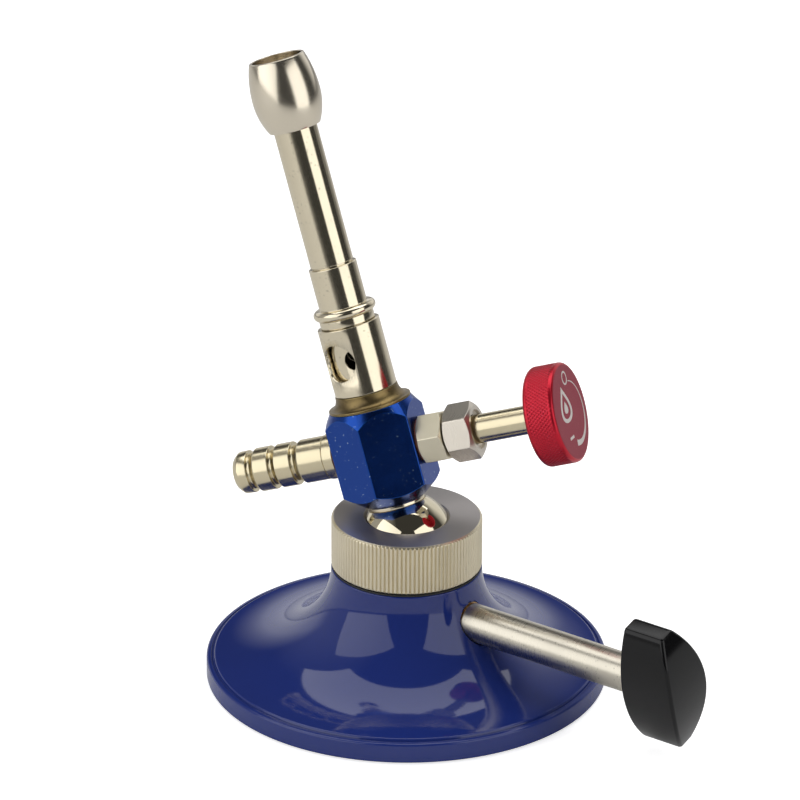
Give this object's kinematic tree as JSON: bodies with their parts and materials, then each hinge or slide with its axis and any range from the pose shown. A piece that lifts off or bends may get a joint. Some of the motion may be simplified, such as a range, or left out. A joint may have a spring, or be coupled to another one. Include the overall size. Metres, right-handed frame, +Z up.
{
  "type": "lampwork torch",
  "caption": "Small bench gas torch: a slim burner with needle valve and hose nozzle on a ball joint, clamped by a lever in a heavy bell-shaped base.",
  "frame": {"origin": "centre of the base's underside, on the surface it stands on", "axes": "+Z up, +X out along the clamp lever; the burner leans towards -X"},
  "size_m": [0.1353, 0.1, 0.1569],
  "materials": {
    "base_enamel": "high-gloss enamel",
    "plate_steel": "plain",
    "foot_rubber": "matt",
    "gasket_rubber": "matt",
    "screw_steel": "plain",
    "bronze": "turned",
    "nickel_collar": "knurled side, polished top",
    "seat_nylon": "natural",
    "polished_ball": "mirror",
    "rod_steel": "satin",
    "handle_black": "gloss",
    "insert_brass": "knurled",
    "anodised_blue": "anodised, gloss",
    "nickel_satin": "satin nickel",
    "nickel_bright": "bright nickel",
    "brass_aged": "aged",
    "brass_plain": "turned",
    "fibre_red": "fibre",
    "copper_washer": "soft",
    "packing_black": "graphite",
    "head_steel": "bright, turned",
    "needle_steel": "ground",
    "anodised_red": "anodised, satin",
    "dark_steel": "blackened"
  },
  "bodies": {
    "base": {"base_casting": "base_enamel", "bottom_plate": "plate_steel", "plate_screws": "screw_steel", "foot_pad": "foot_rubber", "neck_gasket": "gasket_rubber", "shaft_bush": "bronze", "shaft_stop_screw": "dark_steel"},
    "collar": {"collar_nut": "nickel_collar"},
    "upper_seat": {"upper_ball_seat": "seat_nylon"},
    "lower_seat": {"lower_ball_seat": "seat_nylon"},
    "lever": {"cam_shaft": "rod_steel", "handle_insert": "insert_brass", "clamp_handle": "handle_black"},
    "ball": {"pivot_ball": "polished_ball", "ball_washer": "nickel_bright"},
    "burner": {"valve_body": "anodised_blue", "hose_nozzle": "nickel_satin", "nozzle_washer": "fibre_red", "gas_jet": "brass_plain", "jet_washer": "copper_washer", "seat_flange": "brass_aged", "mixing_tube": "nickel_bright", "sleeve_spring": "needle_steel", "burner_tube": "nickel_bright", "flame_head": "head_steel", "flame_retainer": "dark_steel", "bonnet_washer": "fibre_red", "valve_bonnet": "nickel_satin", "gland_packing": "packing_black", "packing_follower": "brass_plain", "gland_nut": "nickel_bright"},
    "sleeve": {"air_sleeve": "nickel_bright"},
    "needle": {"valve_needle": "needle_steel"},
    "knob": {"valve_spindle": "nickel_satin", "control_knob": "anodised_red", "knob_screw": "dark_steel"}
  },
  "joints": [
    {"name": "collar_turn", "type": "hinge", "parent": "base", "child": "collar", "pos_m": [0, 0, 0.037], "axis": [0, 0, 1], "range_deg": [0, 45]},
    {"name": "lever_turn", "type": "hinge", "parent": "base", "child": "lever", "pos_m": [0, 0, 0.0202], "axis": [1, 0, 0], "range_deg": [-90, 0]},
    {"name": "seat_lift", "type": "slide", "parent": "base", "child": "lower_seat", "axis": [0, 0, 1], "range_m": [-0.00032, 0]},
    {"name": "burner_pan", "type": "hinge", "parent": "base", "child": "upper_seat", "pos_m": [0, 0, 0.037], "axis": [0, 0, 1], "continuous": true},
    {"name": "burner_tilt", "type": "hinge", "parent": "upper_seat", "child": "ball", "pos_m": [0, 0, 0.037], "axis": [0.0506, 0.9987, 0], "range_deg": [-0.8, 40]},
    {"name": "burner_spin", "type": "hinge", "parent": "ball", "child": "burner", "pos_m": [0, 0, 0.037], "axis": [-0.335, 0.017, 0.9421], "continuous": true},
    {"name": "sleeve_turn", "type": "hinge", "parent": "burner", "child": "sleeve", "pos_m": [0, 0, 0.037], "axis": [-0.335, 0.017, 0.9421], "continuous": true},
    {"name": "needle_travel", "type": "slide", "parent": "burner", "child": "needle", "axis": [0.888, 0.3398, 0.3097], "range_m": [0, 0.0012]},
    {"name": "knob_turn", "type": "hinge", "parent": "needle", "child": "knob", "pos_m": [-0.00811, 0.00041, 0.0598], "axis": [0.888, 0.3398, 0.3097], "range_deg": [0, 540]}
  ],
  "couplings": [
    {"joint": "seat_lift", "follows": "lever_turn", "m_per_rad": 0.0002},
    {"joint": "knob_turn", "follows": "needle_travel", "rad_per_m": 7854}
  ]
}
